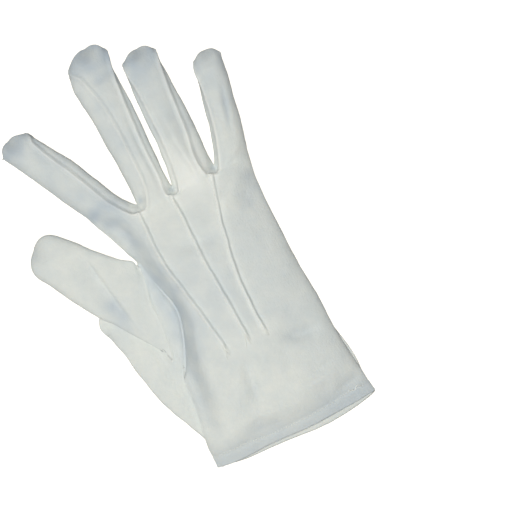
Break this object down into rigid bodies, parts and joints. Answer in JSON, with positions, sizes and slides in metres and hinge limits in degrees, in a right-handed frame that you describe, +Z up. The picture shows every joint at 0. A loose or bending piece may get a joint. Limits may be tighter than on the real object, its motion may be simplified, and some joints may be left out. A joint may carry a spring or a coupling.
{
  "type": "cotton dress glove, right hand",
  "caption": "White cotton dress glove for the right hand, lying palm down, with raised rows of stitching on the back and a hemmed mouth.",
  "frame": {"origin": "under the middle of the glove's outline, on the surface that it lies on", "axes": "+Y from the mouth to the fingertips, +X towards the little finger, +Z up out of the back of the hand"},
  "size_m": [0.149, 0.2432, 0.0198],
  "materials": {
    "cotton": "matt bleached cotton jersey"
  },
  "bodies": {
    "root": {"back_panel": "cotton", "palm_panel": "cotton", "fourchette_index_middle": "cotton", "fourchette_middle_ring": "cotton", "fourchette_ring_little": "cotton", "thumb": "cotton", "cuff_hem": "cotton"}
  },
  "joints": []
}
